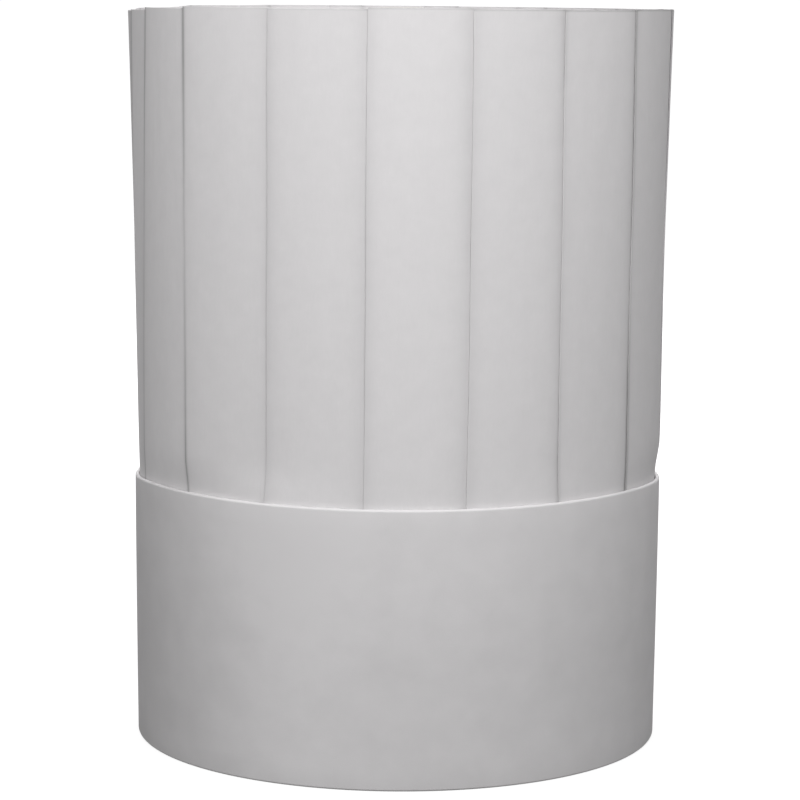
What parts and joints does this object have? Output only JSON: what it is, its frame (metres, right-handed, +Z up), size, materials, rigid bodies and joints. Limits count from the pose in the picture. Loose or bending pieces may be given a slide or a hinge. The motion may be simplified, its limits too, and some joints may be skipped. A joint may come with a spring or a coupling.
{
  "type": "chef toque",
  "caption": "Tall open-top paper chef hat with knife-pleated sides, a wide smooth headband, a front sweatband and a hook-and-loop tail that closes the band at the back.",
  "frame": {"origin": "centre of the head opening, on the surface that the headband's lower edge rests on", "axes": "+Z up through the open top, -Y out of the front of the hat, +X to the right of someone looking at the front; the band's tail is at +Y"},
  "size_m": [0.1877, 0.1887, 0.254],
  "materials": {
    "crown_paper": "matte",
    "band_paper": "matte",
    "grey_card": "matte",
    "padding": "matte",
    "hook_tape": "satin",
    "loop_tape": "matte",
    "seam_paper": "matte"
  },
  "bodies": {
    "hat": {"pleated_wall": "crown_paper", "crown_seam_tape": "seam_paper", "headband": "band_paper", "band_stiffener": "grey_card", "sweatband": "padding", "loop_pad": "loop_tape"},
    "tail": {"closure_flap": "band_paper", "hook_pad": "hook_tape"}
  },
  "joints": [
    {"name": "tail_peel", "type": "hinge", "parent": "hat", "child": "tail", "pos_m": [-0.02497, 0.08792, 0], "axis": [-0.002, 0.0072, 1], "range_deg": [0, 120]}
  ]
}
